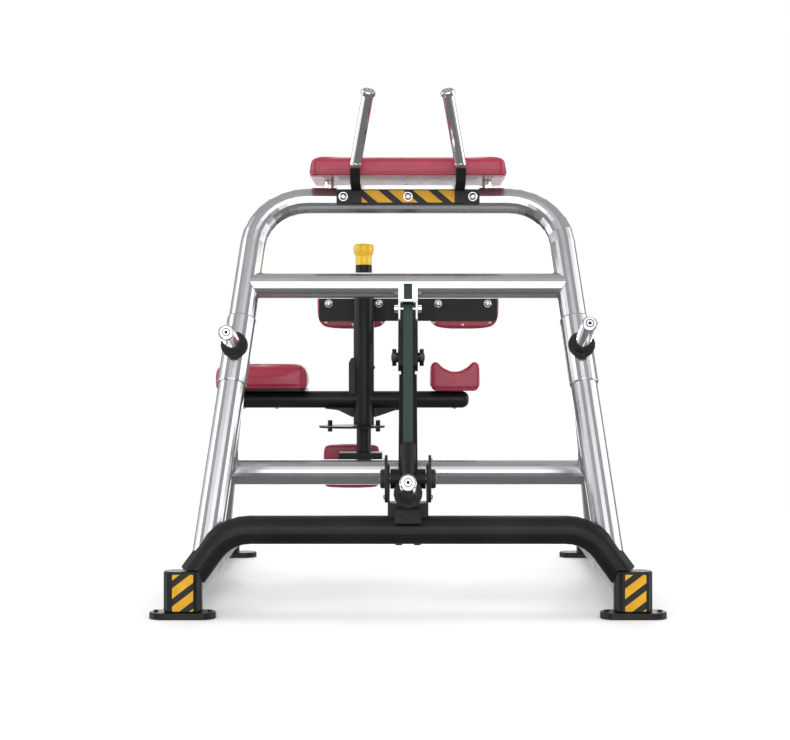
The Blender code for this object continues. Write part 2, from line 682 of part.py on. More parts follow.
def knee_rest():
    black = (BLACK, 0.35, 0.0)
    axis = place(POST_X, POST_Y, 0.4758)
    length = 0.8720 - 0.4758
    loop = [(0.0, 0.0219), (0.0, SLEEVE_R), (length, SLEEVE_R), (length, 0.0219)]
    add_object("swivel_sleeve", turned_ring(axis, (0, 0, 1), loop), black, axis)
    tool = add_object("cut_sleeve", prism_z(circle(POST_X, POST_Y, SLEEVE_R + GAP), 0.40, 0.95))
    ends = {"left": (-0.500, POST_X, -0.1660), "right": (POST_X, 0.180, -0.0960)}
    for side, (low, high, root) in ends.items():
        span = high - low
        cap = 0.006
        if side == "left":
            profile = [(0.0, ARM_R - cap), (cap, ARM_R), (span, ARM_R)]
        else:
            profile = [(0.0, ARM_R), (span - 0.018, ARM_R), (span - 0.008, ARM_R - 0.004),
                       (span - 0.002, ARM_R - 0.011), (span, ARM_R - 0.018)]
        arm = add_object("knee_arm_" + side, lathe(place(low, POST_Y, ARM_Z), (1, 0, 0), profile), black, axis)
        far = -0.246 if side == "left" else 0.020
        web = [(POST_X, 0.535), (POST_X, 0.4993), (root, 0.4993), (0.5 * (root + far), 0.5190),
               (far, 0.5240), (far, 0.535)]
        boolean(arm, add_object("guide_web_" + side, prism_y(web, 0.6170, 0.6230)), "UNION")
        if side == "left":
            rib = [(-0.1750, 0.560), (-0.150, 0.560), (-0.150, 0.6770), (-0.1680, 0.6740), (-0.1750, 0.660)]
            boolean(arm, add_object("guide_rib", prism_y(rib, 0.6020, 0.6380)), "UNION")
        boolean(arm, tool, "DIFFERENCE")
    board = prism_z(rounded_rect(-0.4275, 0.620, 0.255, 0.180, 0.012, 3), 0.5769, 0.5829)
    add_object("knee_board", board, black, axis)
    cushion("knee_pad", (-0.565, -0.290, 0.520, 0.720, 0.5832, 0.6570), 0.018, axis)
    cup(axis)


def cup(axis):
    """Pad with a round groove along Y for the ankle."""
    left = 0.0650
    right = 0.2106
    top = 0.6619
    middle = 0.5 * (left + right)
    outline = [(left + 0.010, 0.5769), (right - 0.010, 0.5769), (right, 0.5900), (right, 0.6480),
               (right - 0.004, top - 0.004), (right - 0.012, top)]
    radius = 0.0632
    centre_z = 0.6340 + radius
    reach = math.asin(0.0525 / radius)
    for i in range(11):
        angle = reach - 2.0 * reach * i / 10.0
        outline.append((middle + radius * math.sin(angle), centre_z - radius * math.cos(angle)))
    outline += [(left + 0.012, top), (left + 0.004, top - 0.004), (left, 0.6480), (left, 0.5900)]
    obj = add_object("cup_pad", prism_y(outline, 0.560, 0.680), (WINE, 0.5, 0.0), axis)
    bevel(obj, 0.006, 2)


def build():
    clear_scene()
    tools = cutters()
    base_frame(tools)
    arch(tools)
    cross_y = cross_tubes(tools)
    storage_horns(tools)
    handles()
    forearm_rest(tools)
    bolt_hole = top_clevis()
    pendulum(bolt_hole)
    yoke(tools)
    pin_cut = thrust_lever()
    push_link(pin_cut)
    carrier(cross_y)
    post()
    knee_rest()


build()
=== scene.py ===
"""The looks of a hip thrust machine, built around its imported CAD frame."""

import json
import math

import bmesh
import bpy
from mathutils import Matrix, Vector
from mathutils.bvhtree import BVHTree
from mathutils.kdtree import KDTree


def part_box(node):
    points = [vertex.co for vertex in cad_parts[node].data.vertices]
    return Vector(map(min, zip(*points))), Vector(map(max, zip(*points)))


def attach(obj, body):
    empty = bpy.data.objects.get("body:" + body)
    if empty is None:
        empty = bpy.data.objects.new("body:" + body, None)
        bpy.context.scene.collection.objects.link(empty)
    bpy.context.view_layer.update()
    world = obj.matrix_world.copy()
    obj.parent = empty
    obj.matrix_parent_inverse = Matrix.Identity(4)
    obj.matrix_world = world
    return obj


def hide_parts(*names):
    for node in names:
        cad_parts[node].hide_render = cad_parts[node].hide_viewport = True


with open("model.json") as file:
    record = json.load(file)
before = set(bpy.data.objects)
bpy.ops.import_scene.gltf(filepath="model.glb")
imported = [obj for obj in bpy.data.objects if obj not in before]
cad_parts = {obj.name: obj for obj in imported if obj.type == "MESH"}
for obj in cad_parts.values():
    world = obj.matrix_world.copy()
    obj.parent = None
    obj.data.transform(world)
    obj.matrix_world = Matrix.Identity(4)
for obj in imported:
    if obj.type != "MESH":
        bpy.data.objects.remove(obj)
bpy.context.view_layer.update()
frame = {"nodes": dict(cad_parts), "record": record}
SLOT_OF = {s["node"]: s["material_slot"] for s in frame["record"]["subparts"]}

MM = 0.001


# ---------------------------------------------------------------- materials


class Shader:
    """A node material: the Principled shader and short ways to feed it."""

    def __init__(self, name, color, metallic=0.0, roughness=0.5, **sockets):
        self.material = bpy.data.materials.new(name)
        self.material.use_nodes = True
        self.tree = self.material.node_tree
        self.bsdf = self.tree.nodes["Principled BSDF"]
        self.bsdf.inputs["Base Color"].default_value = (*color, 1)
        self.bsdf.inputs["Metallic"].default_value = metallic
        self.bsdf.inputs["Roughness"].default_value = roughness
        for socket, value in sockets.items():
            self.bsdf.inputs[socket.replace("_", " ")].default_value = value
        self.coords = self.node("ShaderNodeTexCoord").outputs["Object"]
        self.normal = None

    def node(self, kind, **inputs):
        made = self.tree.nodes.new(kind)
        for socket, value in inputs.items():
            self.feed(made.inputs[socket.replace("_", " ")], value)
        return made

    def feed(self, socket, value):
        if isinstance(value, bpy.types.NodeSocket):
            self.tree.links.new(value, socket)
        else:
            socket.default_value = value

    def noise(self, scale, detail=3.0, roughness=0.55, stretch=(1, 1, 1)):
        mapping = self.node("ShaderNodeMapping", Vector=self.coords, Scale=stretch)
        return self.node(
            "ShaderNodeTexNoise",
            Vector=mapping.outputs[0],
            Scale=scale,
            Detail=detail,
            Roughness=roughness,
        ).outputs["Fac"]

    def cells(self, scale, feature="F1"):
        made = self.node("ShaderNodeTexVoronoi", Vector=self.coords, Scale=scale)
        made.feature = feature
        return made.outputs["Distance"]

    def span(self, value, low, high, to_low=0.0, to_high=1.0):
        made = self.node(
            "ShaderNodeMapRange",
            Value=value,
            From_Min=low,
            From_Max=high,
            To_Min=to_low,
            To_Max=to_high,
        )
        made.clamp = True
        return made.outputs[0]

    def math(self, operation, a, b=0.0):
        made = self.tree.nodes.new("ShaderNodeMath")
        made.operation = operation
        self.feed(made.inputs[0], a)
        self.feed(made.inputs[1], b)
        return made.outputs[0]

    def mix(self, factor, a, b):
        made = self.tree.nodes.new("ShaderNodeMix")
        made.data_type = "RGBA"
        self.feed(made.inputs["Factor"], factor)
        self.feed(made.inputs["A"], a)
        self.feed(made.inputs["B"], b)
        return made.outputs["Result"]

    def vary(self, scale, detail, low, color, darkest, palest):
        """A colour that drifts between a darker and a paler shade in patches."""
        patches = self.span(self.noise(scale, detail), low, 0.7)
        return self.mix(patches, shade(color, darkest), shade(color, palest))

    def bump(self, height, strength, distance):
        made = self.node(
            "ShaderNodeBump", Height=height, Strength=strength, Distance=distance
        )
        if self.normal:
            self.feed(made.inputs["Normal"], self.normal)
        self.normal = made.outputs[0]
        self.feed(self.bsdf.inputs["Normal"], self.normal)

    def edges(self, radius):
        """1 on sharp edges, 0 elsewhere, and a softened normal there."""
        bevel = self.node("ShaderNodeBevel", Radius=radius)
        bevel.samples = 4
        geometry = self.node("ShaderNodeNewGeometry")
        dot = self.tree.nodes.new("ShaderNodeVectorMath")
        dot.operation = "DOT_PRODUCT"
        self.feed(dot.inputs[0], bevel.outputs[0])
        self.feed(dot.inputs[1], geometry.outputs["Normal"])
        self.normal = bevel.outputs[0]
        return self.span(dot.outputs["Value"], 0.97, 0.80)

    def slab(self, axis, low, high, soft=0.3 * MM):
        """1 between two planes across an axis, 0 outside them."""
        split = self.node("ShaderNodeSeparateXYZ", Vector=self.coords)
        value = split.outputs[axis]
        above = self.span(value, low - soft, low + soft)
        below = self.span(value, high + soft, high - soft)
        return self.math("MULTIPLY", above, below)

    def color(self, value):
        self.feed(self.bsdf.inputs["Base Color"], value)

    def rough(self, value):
        self.feed(self.bsdf.inputs["Roughness"], value)


def shade(color, factor):
    return (*(min(1.0, c * factor) for c in color), 1)


def powder_coat(name, color, roughness=0.36, strip=None, strip_half=0.0):
    """Dark powder coat: fine orange peel, dusty patches, paler worn edges."""
    s = Shader(name, color, 0.0, roughness, Specular_IOR_Level=0.24)
    edge = s.edges(1.4 * MM)
    patches = s.noise(7, 4)
    scuffs = s.noise(60, 6, 0.7, (1, 1, 0.25))
    tone = s.mix(s.span(patches, 0.35, 0.7), shade(color, 0.8), shade(color, 1.35))
    if strip:
        inside = s.slab("X", -strip_half, strip_half)
        tone = s.mix(inside, tone, shade(strip, 1))
    worn = s.math("MULTIPLY", edge, s.span(s.noise(38, 5), 0.42, 0.62, 0.12, 0.7))
    tone = s.mix(worn, tone, (0.16, 0.16, 0.165, 1))
    tone = s.mix(s.span(scuffs, 0.68, 0.78, 0, 0.35), tone, (0.07, 0.07, 0.07, 1))
    s.color(tone)
    s.rough(s.span(scuffs, 0.3, 0.75, roughness - 0.06, roughness + 0.14))
    s.bump(s.noise(650, 2), 0.16, 0.35 * MM)
    return s.material


def silver_paint(name, color, painted_shade_box=None):
    """Silver paint: satin metal with clear soft reflections, faint handling marks and a
    painted highlight along its sharp edges; a given box can be painted dark as shade.
    """
    s = Shader(name, color, 0.92, 0.2, Coat_Weight=0.2, Coat_Roughness=0.1)
    edge = s.edges(1.2 * MM)
    patches = s.noise(4, 3)
    tone = s.mix(s.span(patches, 0.3, 0.7), shade(color, 0.95), shade(color, 1.04))
    # painted highlight: every sharp edge is painted paler
    tone = s.mix(s.math("MULTIPLY", edge, 0.35), tone, (0.80, 0.81, 0.82, 1))
    # painted shade: the box is painted dark green-black, the bar as it looks in shade
    # inside the clevis's open middle
    if painted_shade_box:
        half, bottom, top = painted_shade_box
        inside = s.math("MULTIPLY", s.slab("X", -half, half), s.slab("Z", bottom, top))
        tone = s.mix(inside, tone, (0.016, 0.024, 0.022, 1))
    s.color(tone)
    s.rough(s.span(s.noise(18, 4, 0.6), 0.3, 0.75, 0.17, 0.26))
    s.bump(s.noise(900, 2), 0.03, 0.08 * MM)
    return s.material


def chrome_plate(name, color):
    """Polished chrome: clear reflections, light smudges and hairline scratches."""
    s = Shader(name, color, 1.0, 0.07)
    s.edges(0.8 * MM)
    smudge = s.noise(26, 5)
    hairline = s.noise(300, 3, 0.6, (1, 1, 0.04))
    s.color(s.mix(s.span(smudge, 0.35, 0.75), shade(color, 1.02), shade(color, 0.9)))
    s.rough(s.span(smudge, 0.35, 0.8, 0.045, 0.17))
    s.bump(hairline, 0.04, 0.1 * MM)
    return s.material


def rubber_black(name, color):
    """Matte rubber: grainy and slightly dusty."""
    s = Shader(name, color, 0.0, 0.78)
    s.edges(1.0 * MM)
    s.color(s.vary(30, 5, 0.35, color, 0.8, 1.8))
    s.rough(s.span(s.noise(90, 4), 0.3, 0.7, 0.66, 0.88))
    s.bump(s.noise(1300, 2), 0.3, 0.3 * MM)
    return s.material


def leather(name, color):
    """Upholstery leather: pebble grain with painted shade in its hollows, fine creases,
    tone and gloss that vary.
    """
    s = Shader(name, color, 0.0, 0.40, Coat_Weight=0.25, Coat_Roughness=0.28)
    tone = s.vary(9, 4, 0.3, color, 0.86, 1.12)
    pebble = s.cells(420, "SMOOTH_F1")
    # painted shade: the creases between the pebbles are painted darker
    s.color(s.mix(s.span(pebble, 0.25, 0.75, 0, 0.30), tone, shade(color, 0.62)))
    s.rough(s.span(s.noise(45, 4), 0.3, 0.7, 0.33, 0.47))
    s.bump(s.math("MULTIPLY", pebble, -1.0), 0.35, 0.35 * MM)
    s.bump(s.noise(60, 5, 0.6), 0.12, 1.2 * MM)
    return s.material


def moulded_plastic(name, color):
    """Glossy moulded plastic with light scuffs."""
    s = Shader(name, color, 0.0, 0.24, Coat_Weight=0.4, Coat_Roughness=0.1)
    s.edges(1.0 * MM)
    s.color(s.vary(24, 4, 0.35, color, 0.88, 1.08))
    s.rough(s.span(s.noise(160, 5, 0.7), 0.4, 0.75, 0.17, 0.38))
    s.bump(s.noise(500, 2), 0.06, 0.2 * MM)
    return s.material


def ground_steel(name, color, roughness=0.3):
    """Turned or ground steel: fine grain round the part."""
    s = Shader(name, color, 1.0, roughness)
    s.edges(0.8 * MM)
    grain = s.noise(260, 4, 0.7, (6, 1, 1))
    s.color(s.mix(s.span(grain, 0.3, 0.7), shade(color, 0.78), shade(color, 1.15)))
    s.rough(s.span(grain, 0.3, 0.7, roughness - 0.08, roughness + 0.12))
    s.bump(grain, 0.15, 0.12 * MM)
    return s.material


def hazard(name, lean, pitch, dark_share, phase):
    """Black and yellow warning stripes that lean one way, printed on film."""
    yellow, black = (0.64, 0.33, 0.014), (0.012, 0.012, 0.012)
    s = Shader(name, yellow, 0.0, 0.46, Specular_IOR_Level=0.25)
    xyz = s.node("ShaderNodeSeparateXYZ", Vector=s.coords)
    across = s.math("ADD", xyz.outputs["X"], s.math("MULTIPLY", xyz.outputs["Z"], lean))
    wave = s.math("FRACT", s.math("DIVIDE", s.math("ADD", across, phase), pitch))
    rise, fall = s.span(wave, 0, 0.03), s.span(wave, dark_share + 0.03, dark_share)
    stripe = s.math("MULTIPLY", rise, fall)
    tone = s.vary(30, 4, 0.35, yellow, 0.86, 1.06)
    tone = s.mix(stripe, tone, shade(black, 1))
    scuffs = s.span(s.noise(220, 6, 0.75), 0.72, 0.8, 0, 0.4)
    s.color(s.mix(scuffs, tone, (0.3, 0.3, 0.3, 1)))
    s.rough(s.span(s.noise(90, 4), 0.3, 0.7, 0.34, 0.5))
    s.bump(s.noise(380, 2), 0.08, 0.2 * MM)
    return s.material


LOOKS = {
    "black_steel": powder_coat("black_powder_coat", (0.009, 0.009, 0.010)),
    "green_black_steel": powder_coat(
        "green_black_coat", (0.010, 0.011, 0.011), 0.42, (0.030, 0.046, 0.043), 12.5 * MM
    ),
    "silver_steel": silver_paint("silver_paint", (0.56, 0.57, 0.585)),
    "chrome": chrome_plate("chrome_plate", (0.86, 0.87, 0.89)),
    "rubber": rubber_black("rubber_black", (0.011, 0.011, 0.011)),
    "wine_leather": leather("wine_leather_cover", (0.30, 0.012, 0.040)),
    "yellow_plastic": moulded_plastic("yellow_knob", (0.84, 0.52, 0.02)),
    "bare_steel": ground_steel("ground_steel", (0.45, 0.46, 0.48)),
    "dark_steel": ground_steel("blackened_steel", (0.06, 0.06, 0.065), 0.34),
    "dark_iron": powder_coat("painted_casting", (0.022, 0.022, 0.024), 0.5),
}
# The clevis's open middle is painted dark green-black as shade, standing for the bar
# inside it.
CLEVIS = silver_paint("silver_clevis", (0.56, 0.57, 0.585), (11.3 * MM, 0.8315, 0.8735))
THREAD = leather("thread", (0.20, 0.008, 0.028))
LABEL_DOWN = hazard("hazard_film_plate", 1.2, 70 * MM, 0.39, 2.8427)
LABEL_UP = hazard("hazard_film_column", -1.31, 61 * MM, 0.43, 3.7244)

for node, obj in frame["nodes"].items():
    look = CLEVIS if node == "top_clevis" else LOOKS[SLOT_OF[node]]
    if obj.material_slots:
        for material_slot in obj.material_slots:
            material_slot.material = look
    else:
        obj.data.materials.append(look)


# ------------------------------------------------------------ mesh helpers


def closed_mesh(name, verts, faces):
    """A mesh whose normals all point outwards."""
    mesh = bpy.data.meshes.new(name)
    mesh.from_pydata([tuple(v) for v in verts], [], faces)
    mesh.validate()
    bm = bmesh.new()
    bm.from_mesh(mesh)
    bmesh.ops.recalc_face_normals(bm, faces=bm.faces)
    bm.to_mesh(mesh)
    bm.free()
    return mesh


def add_mesh(name, parts, look, body, smooth=True):
    """A new piece from (verts, faces) that rides on a body."""
    mesh = closed_mesh(name, *parts)
    mesh.materials.append(look)
    obj = bpy.data.objects.new(name, mesh)
    bpy.context.scene.collection.objects.link(obj)
    if smooth:
        mesh.shade_smooth()
        mesh.set_sharp_from_angle(angle=math.radians(38))
    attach(obj, body)
    return obj


def search_tree(mesh):
    return BVHTree.FromPolygons(
        [v.co for v in mesh.vertices], [p.vertices for p in mesh.polygons]
    )


def band(rows, count, wrap=False):
    """Quads between rows of count vertices; wrap joins the last row to the first."""
    faces = []
    for row in range(rows if wrap else rows - 1):
        here, there = row * count, (row + 1) % rows * count
        for i in range(count):
            k = (i + 1) % count
            faces.append((here + i, here + k, there + k, there + i))
    return faces


def ends(rows, count):
    """The two faces that close the first and the last row."""
    last = (rows - 1) * count
    return [tuple(range(count)), tuple(range(last, last + count))]


def rounded_outline(a0, a1, b0, b1, radius, steps):
    """(a, b) points round a rounded rectangle, with steps points in each corner."""
    corners = (
        (a1 - radius, b1 - radius, 0),
        (a0 + radius, b1 - radius, 90),
        (a0 + radius, b0 + radius, 180),
        (a1 - radius, b0 + radius, 270),
    )
    points = []
    for a, b, start in corners:
        for turn in range(steps):
            t = math.radians(start + turn * 90 / (steps - 1))
            points.append((a + radius * math.cos(t), b + radius * math.sin(t)))
    return points


def lathe(profile, centre, direction, segments=28, ring=False):
    """Vertices and faces of a closed turned piece: profile is (radius, height).

    A ring's profile closes on itself; otherwise both ends are capped.
    """
    w = Vector(direction).normalized()
    u = w.orthogonal().normalized()
    v = w.cross(u)
    centre = Vector(centre)
    verts = []
    for radius, height in profile:
        for i in range(segments):
            a = 2 * math.pi * i / segments
            verts.append(
                centre + w * height + (u * math.cos(a) + v * math.sin(a)) * radius
            )
    faces = band(len(profile), segments, wrap=ring)
    if not ring:
        faces += ends(len(profile), segments)
    return verts, faces


def merged(parts):
    verts, faces = [], []
    for part_verts, part_faces in parts:
        start = len(verts)
        verts += part_verts
        faces += [tuple(i + start for i in face) for face in part_faces]
    return verts, faces


# Bolt profiles: (radius, height) in parts of the bolt's own radius.
DOME_WASHER = ((0.97, 0), (1, 0.05), (1, 0.12), (0.96, 0.16), (0.3, 0.165))
DOME_HEAD = (
    (0.80, 0.10),
    (0.82, 0.22),
    (0.78, 0.34),
    (0.66, 0.48),
    (0.48, 0.57),
    (0.33, 0.60),
    (0.30, 0.57),
    (0.27, 0.28),
    (0.10, 0.24),
)
HEX_WASHER = ((1.12, 0), (1.15, 0.06), (1.15, 0.14), (1.10, 0.18), (0.4, 0.185))
HEX_HEAD = ((0.97, 0.12), (0.99, 0.20), (0.99, 0.66), (0.88, 0.76), (0.3, 0.78))
BOLT_SINK = 0.4 * MM


def bolt(centre, direction, diameter, washer, head, sides=28):
    r = diameter / 2
    start = Vector(centre) - Vector(direction).normalized() * BOLT_SINK
    scaled = [[(r * a, r * b) for a, b in profile] for profile in (washer, head)]
    return merged(
        [lathe(scaled[0], start, direction), lathe(scaled[1], start, direction, sides)]
    )


def dome_bolt(centre, direction, diameter):
    """A washer under a domed head with a round-bottomed socket."""
    return bolt(centre, direction, diameter, DOME_WASHER, DOME_HEAD)


def hex_bolt(centre, direction, diameter):
    """A washer under a hexagon head with a chamfered top."""
    return bolt(centre, direction, diameter, HEX_WASHER, HEX_HEAD, 6)


def surface(node, start, direction):
    """The first point on a CAD node that a line from start meets."""
    tree = search_tree(frame["nodes"][node].data)
    return tree.ray_cast(Vector(start), Vector(direction))[0]


def bolts(name, places, body, slot, kind=dome_bolt):
    """Bolts of one kind as one piece; places are (centre, direction, diameter)."""
    add_mesh(name, merged([kind(*place) for place in places]), LOOKS[slot], body)


LABEL_CORNER = 3 * MM
LABEL_PROUD = 0.5 * MM
LABEL_SUNK = 0.2 * MM


def thin_label(name, x0, x1, z0, z1, y, look):
    """A film label with rounded corners that faces -Y at depth y."""
    outline = rounded_outline(x0, x1, z0, z1, LABEL_CORNER, 6)
    verts = [(x, d, z) for d in (y + LABEL_SUNK, y - LABEL_PROUD) for x, z in outline]
    faces = ends(2, len(outline)) + band(2, len(outline))
    add_mesh(name, (verts, faces), look, "frame", smooth=False)


def tube(path, radius, segments=8, closed=True):
    """Vertices and faces of a tube along a path, in short facets."""
    reference = Vector((0.31, 0.17, 0.93))
    verts = []
    count = len(path)
    for i, point in enumerate(path):
        ahead = path[(i + 1) % count] if closed or i < count - 1 else path[i]
        behind = path[i - 1] if closed or i else path[i]
        tangent = (ahead - behind).normalized()
        side = tangent.cross(reference).normalized()
        up = side.cross(tangent)
        for k in range(segments):
            a = 2 * math.pi * k / segments
            verts.append(point + (side * math.cos(a) + up * math.sin(a)) * radius)
    faces = band(count, segments, wrap=closed)
    if not closed:
        faces += ends(count, segments)
    return verts, faces


# -------------------------------------------------------------------- pads

VOXEL = 5 * MM
START_INSET = 1.5 * MM
MOST_SWELL = 3.5 * MM
BOARD_GAP = 0.3 * MM  # between a pad and the board that it lies on
HELD_BAND = 6 * MM  # the cover's edge that is stapled to the board
SIMULATED_FRAMES = 20
GROOVE_REACH = 9 * MM
GROOVE_DEPTH = 1.5 * MM
GROOVE_WIDTH = 3.2 * MM
LOOP_STEP = 2.5 * MM  # the least spacing of the points along a seam's straight runs
STITCH_OFFSET = 5 * MM


def soften(obj, rounds):
    modifier = obj.modifiers.new("soften", "SMOOTH")
    modifier.factor = 0.5
    modifier.iterations = rounds
    apply(obj, modifier)


def apply(obj, modifier):
    bpy.context.view_layer.objects.active = obj
    with bpy.context.temp_override(object=obj, active_object=obj):
        bpy.ops.object.modifier_apply(modifier=modifier.name)


def swell(obj, held, most):
    """Cloth pressure fills the cover; held vertices stay on their board."""
    group = obj.vertex_groups.new(name="board")
    group.add(held, 1.0, "REPLACE")
    before = [v.co.copy() for v in obj.data.vertices]
    modifier = obj.modifiers.new("cover", "CLOTH")
    cloth = modifier.settings
    cloth.quality = 5
    cloth.mass = 0.3
    cloth.tension_stiffness = 30
    cloth.compression_stiffness = 30
    cloth.bending_stiffness = 2.0
    cloth.use_pressure = True
    cloth.uniform_pressure_force = 4
    cloth.vertex_group_mass = "board"
    cloth.pin_stiffness = 2.0
    cloth.effector_weights.gravity = 0
    modifier.collision_settings.use_self_collision = False
    modifier.point_cache.frame_start = 1
    modifier.point_cache.frame_end = SIMULATED_FRAMES
    scene = bpy.context.scene
    for number in range(1, SIMULATED_FRAMES + 1):
        scene.frame_set(number)
        bpy.context.evaluated_depsgraph_get()
    apply(obj, modifier)
    scene.frame_set(1)
    for vertex, rest in zip(obj.data.vertices, before):
        move = vertex.co - rest
        if move.length > most:
            vertex.co = rest + move.normalized() * most


def rounded_loop(a0, a1, b0, b1, radius, place):
    """Close points round a rounded rectangle; place maps (a, b) to a point."""
    points = [place(a, b) for a, b in rounded_outline(a0, a1, b0, b1, radius, 9)]
    dense = []
    for i, p in enumerate(points):
        q = points[(i + 1) % len(points)]
        parts = max(1, int((q - p).length / LOOP_STEP))
        dense += [p.lerp(q, k / parts) for k in range(parts)]
    return dense


def press_groove(pad, line):
    near = KDTree(len(line))
    for i, p in enumerate(line):
        near.insert(p, i)
    near.balance()
    normals = [n.vector.copy() for n in pad.data.vertex_normals]
    for vertex, normal in zip(pad.data.vertices, normals):
        _, _, distance = near.find(vertex.co)
        if distance < GROOVE_REACH:
            depth = GROOVE_DEPTH * math.exp(-((distance / GROOVE_WIDTH) ** 2))
            vertex.co -= normal * depth
    pad.data.update()


def seam(pad, name, path, body, stitched_to):
    """Presses a groove into the pad along a path and lays a welt and stitches there."""
    tree = search_tree(pad.data)
    line = [tree.find_nearest(p)[0] for p in path]
    press_groove(pad, line)
    tree = search_tree(pad.data)
    line = [tree.find_nearest(p)[0] for p in line]
    count = len(line)
    for _ in range(3):
        line = [
            (line[i - 1] + line[i] * 2 + line[(i + 1) % count]) / 4
            for i in range(count)
        ]
    add_mesh(name + "_welt", tube(line, 0.9 * MM), THREAD, body)
    stitches = []
    offset = Vector(stitched_to).normalized() * STITCH_OFFSET
    for i in range(0, count - 1, 2):
        tips = []
        for p in (line[i], line[i + 1]):
            spot, normal, _, _ = tree.find_nearest(p + offset)
            tips.append(spot + normal * 0.15 * MM)
        start, end = tips
        if (end - start).length > 1 * MM:
            path = [start, start.lerp(end, 0.5), end]
            stitches.append(tube(path, 0.45 * MM, 6, False))
    add_mesh(name + "_stitches", merged(stitches), THREAD, body)


def pad_blank(low, high, axis, corner, crown):
    """A closed pad: crisp where it meets its board (the low side), rounded in front."""
    a, b = [k for k in range(3) if k != axis]
    tall = high[axis] - low[axis]
    profile = [(2.5 * MM, 0.0), (0.8 * MM, 1.5 * MM), (0.0, 4 * MM), (0.0, tall - crown)]
    for step in range(1, 7):
        t = math.radians(15 * step)
        profile.append((crown * (1 - math.cos(t)), tall - crown + crown * math.sin(t)))
    profile.append((crown + 12 * MM, tall + 0.8 * MM))
    verts = []
    for inset, rise in profile:
        outline = rounded_outline(
            low[a] + inset,
            high[a] - inset,
            low[b] + inset,
            high[b] - inset,
            max(corner - inset, 1.5 * MM),
            8,
        )
        for u, v in outline:
            point = Vector()
            point[a], point[b], point[axis] = u, v, low[axis] + rise
            verts.append(point)
    rows, count = len(profile), len(outline)
    return closed_mesh("blank", verts, band(rows, count) + ends(rows, count))


def fit(mesh, low, high, taper=0.0):
    """Stretches the mesh to a box; taper narrows X towards the back."""
    for k in range(3):
        values = [v.co[k] for v in mesh.vertices]
        start, end = min(values), max(values)
        for vertex in mesh.vertices:
            share = (vertex.co[k] - start) / (end - start)
            vertex.co[k] = low[k] + share * (high[k] - low[k])
    if taper:
        middle = (low[0] + high[0]) / 2
        for vertex in mesh.vertices:
            share = (vertex.co.y - low[1]) / (high[1] - low[1])
            vertex.co.x = middle + (vertex.co.x - middle) * (1 - taper * share)


def make_pad(
    node,
    body,
    axis,
    seam_height,
    corner=None,
    seam_corner=None,
    crown=16 * MM,
    rounds=2,
    voxel=VOXEL,
    most=MOST_SWELL,
    taper=0.0,
):
    """A leather pad for a CAD pad. Its low side along axis lies on its board.

    A seam runs round it seam_height above the board. Without a corner radius
    the CAD pad's own shape is the start.
    """
    low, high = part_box(node)
    inset = Vector([0 if k == axis else START_INSET for k in range(3)])
    if corner is None:
        mesh = frame["nodes"][node].data.copy()
    else:
        mesh = pad_blank(low, high, axis, corner, crown)
    mesh.name = node + "_cover"
    mesh.materials.clear()
    fit(mesh, low + inset, high - inset)
    pad = bpy.data.objects.new(node + "_cover", mesh)
    bpy.context.scene.collection.objects.link(pad)
    remesh = pad.modifiers.new("remesh", "REMESH")
    remesh.mode = "VOXEL"
    remesh.voxel_size = voxel
    apply(pad, remesh)
    soften(pad, rounds)
    board = low[axis] + BOARD_GAP
    held = [v.index for v in pad.data.vertices if v.co[axis] - board < HELD_BAND]
    swell(pad, held, most)
    soften(pad, 1)
    modifier = pad.modifiers.new("finer", "SUBSURF")
    modifier.levels = modifier.render_levels = 1
    apply(pad, modifier)
    lift = Vector([BOARD_GAP if k == axis else 0 for k in range(3)])
    fit(pad.data, low + lift, high, taper)
    pad.data.materials.clear()
    pad.data.materials.append(LOOKS["wine_leather"])
    level = low[axis] + seam_height
    upwards = Vector([1 if k == axis else 0 for k in range(3)])
    path = seam_path(low, high, axis, level, seam_corner or corner)
    seam(pad, node + "_seam_0", path, body, upwards)
    pad.data.shade_smooth()
    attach(pad, body)
    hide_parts(node)


def seam_path(low, high, axis, level, radius):
    """A loop round the pad's box at one level above its board."""
    a, b = [k for k in range(3) if k != axis]

    def place(u, v):
        point = Vector()
        point[a], point[b], point[axis] = u, v, level
        return point

    return rounded_loop(low[a], high[a], low[b], high[b], radius, place)


make_pad("forearm_pad", "frame", 2, 7 * MM, 22 * MM, crown=18 * MM)
make_pad("knee_pad", "knee_rest", 2, 8 * MM, 26 * MM, crown=25 * MM, taper=0.06)
for name in ("hip_pad_left", "hip_pad_right"):
    make_pad(name, "thrust_arm", 1, 9 * MM, 38 * MM, crown=18 * MM)
make_pad("shin_pad", "frame", 1, 9 * MM, 14 * MM)
make_pad(
    "cup_pad",
    "knee_rest",
    2,
    8 * MM,
    seam_corner=8 * MM,
    rounds=1,
    voxel=3.5 * MM,
    most=0.8 * MM,
)


# ----------------------------------------------------- bolts, labels, trims

FRONT = (0, -1, 0)
UP = (0, 0, 1)
DOWN = (0, 0, -1)

plate_low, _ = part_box("handle_plate")
bolts(
    "handle_plate_bolts",
    [((x, plate_low.y, 1.1256), FRONT, 26 * MM) for x in (-0.182, 0.0, 0.182)],
    "frame",
    "chrome",
)
thin_label(
    "handle_plate_label", -0.133, 0.133, 1.109, 1.143, plate_low.y, LABEL_DOWN
)
for side in ("left", "right"):
    low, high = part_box("foot_column_" + side)
    middle = (low.x + high.x) / 2
    left, right = middle - 24 * MM, middle + 30 * MM
    thin_label(f"column_label_{side}", left, right, 0.021, 0.115, low.y, LABEL_UP)
    low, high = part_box("foot_plate_" + side)
    middle = (low + high) / 2
    spots = (low.x + 17 * MM, high.x - 17 * MM)
    bolts(
        f"foot_bolts_{side}",
        [((x, middle.y, high.z), UP, 13 * MM) for x in spots],
        "frame",
        "dark_steel",
        hex_bolt,
    )

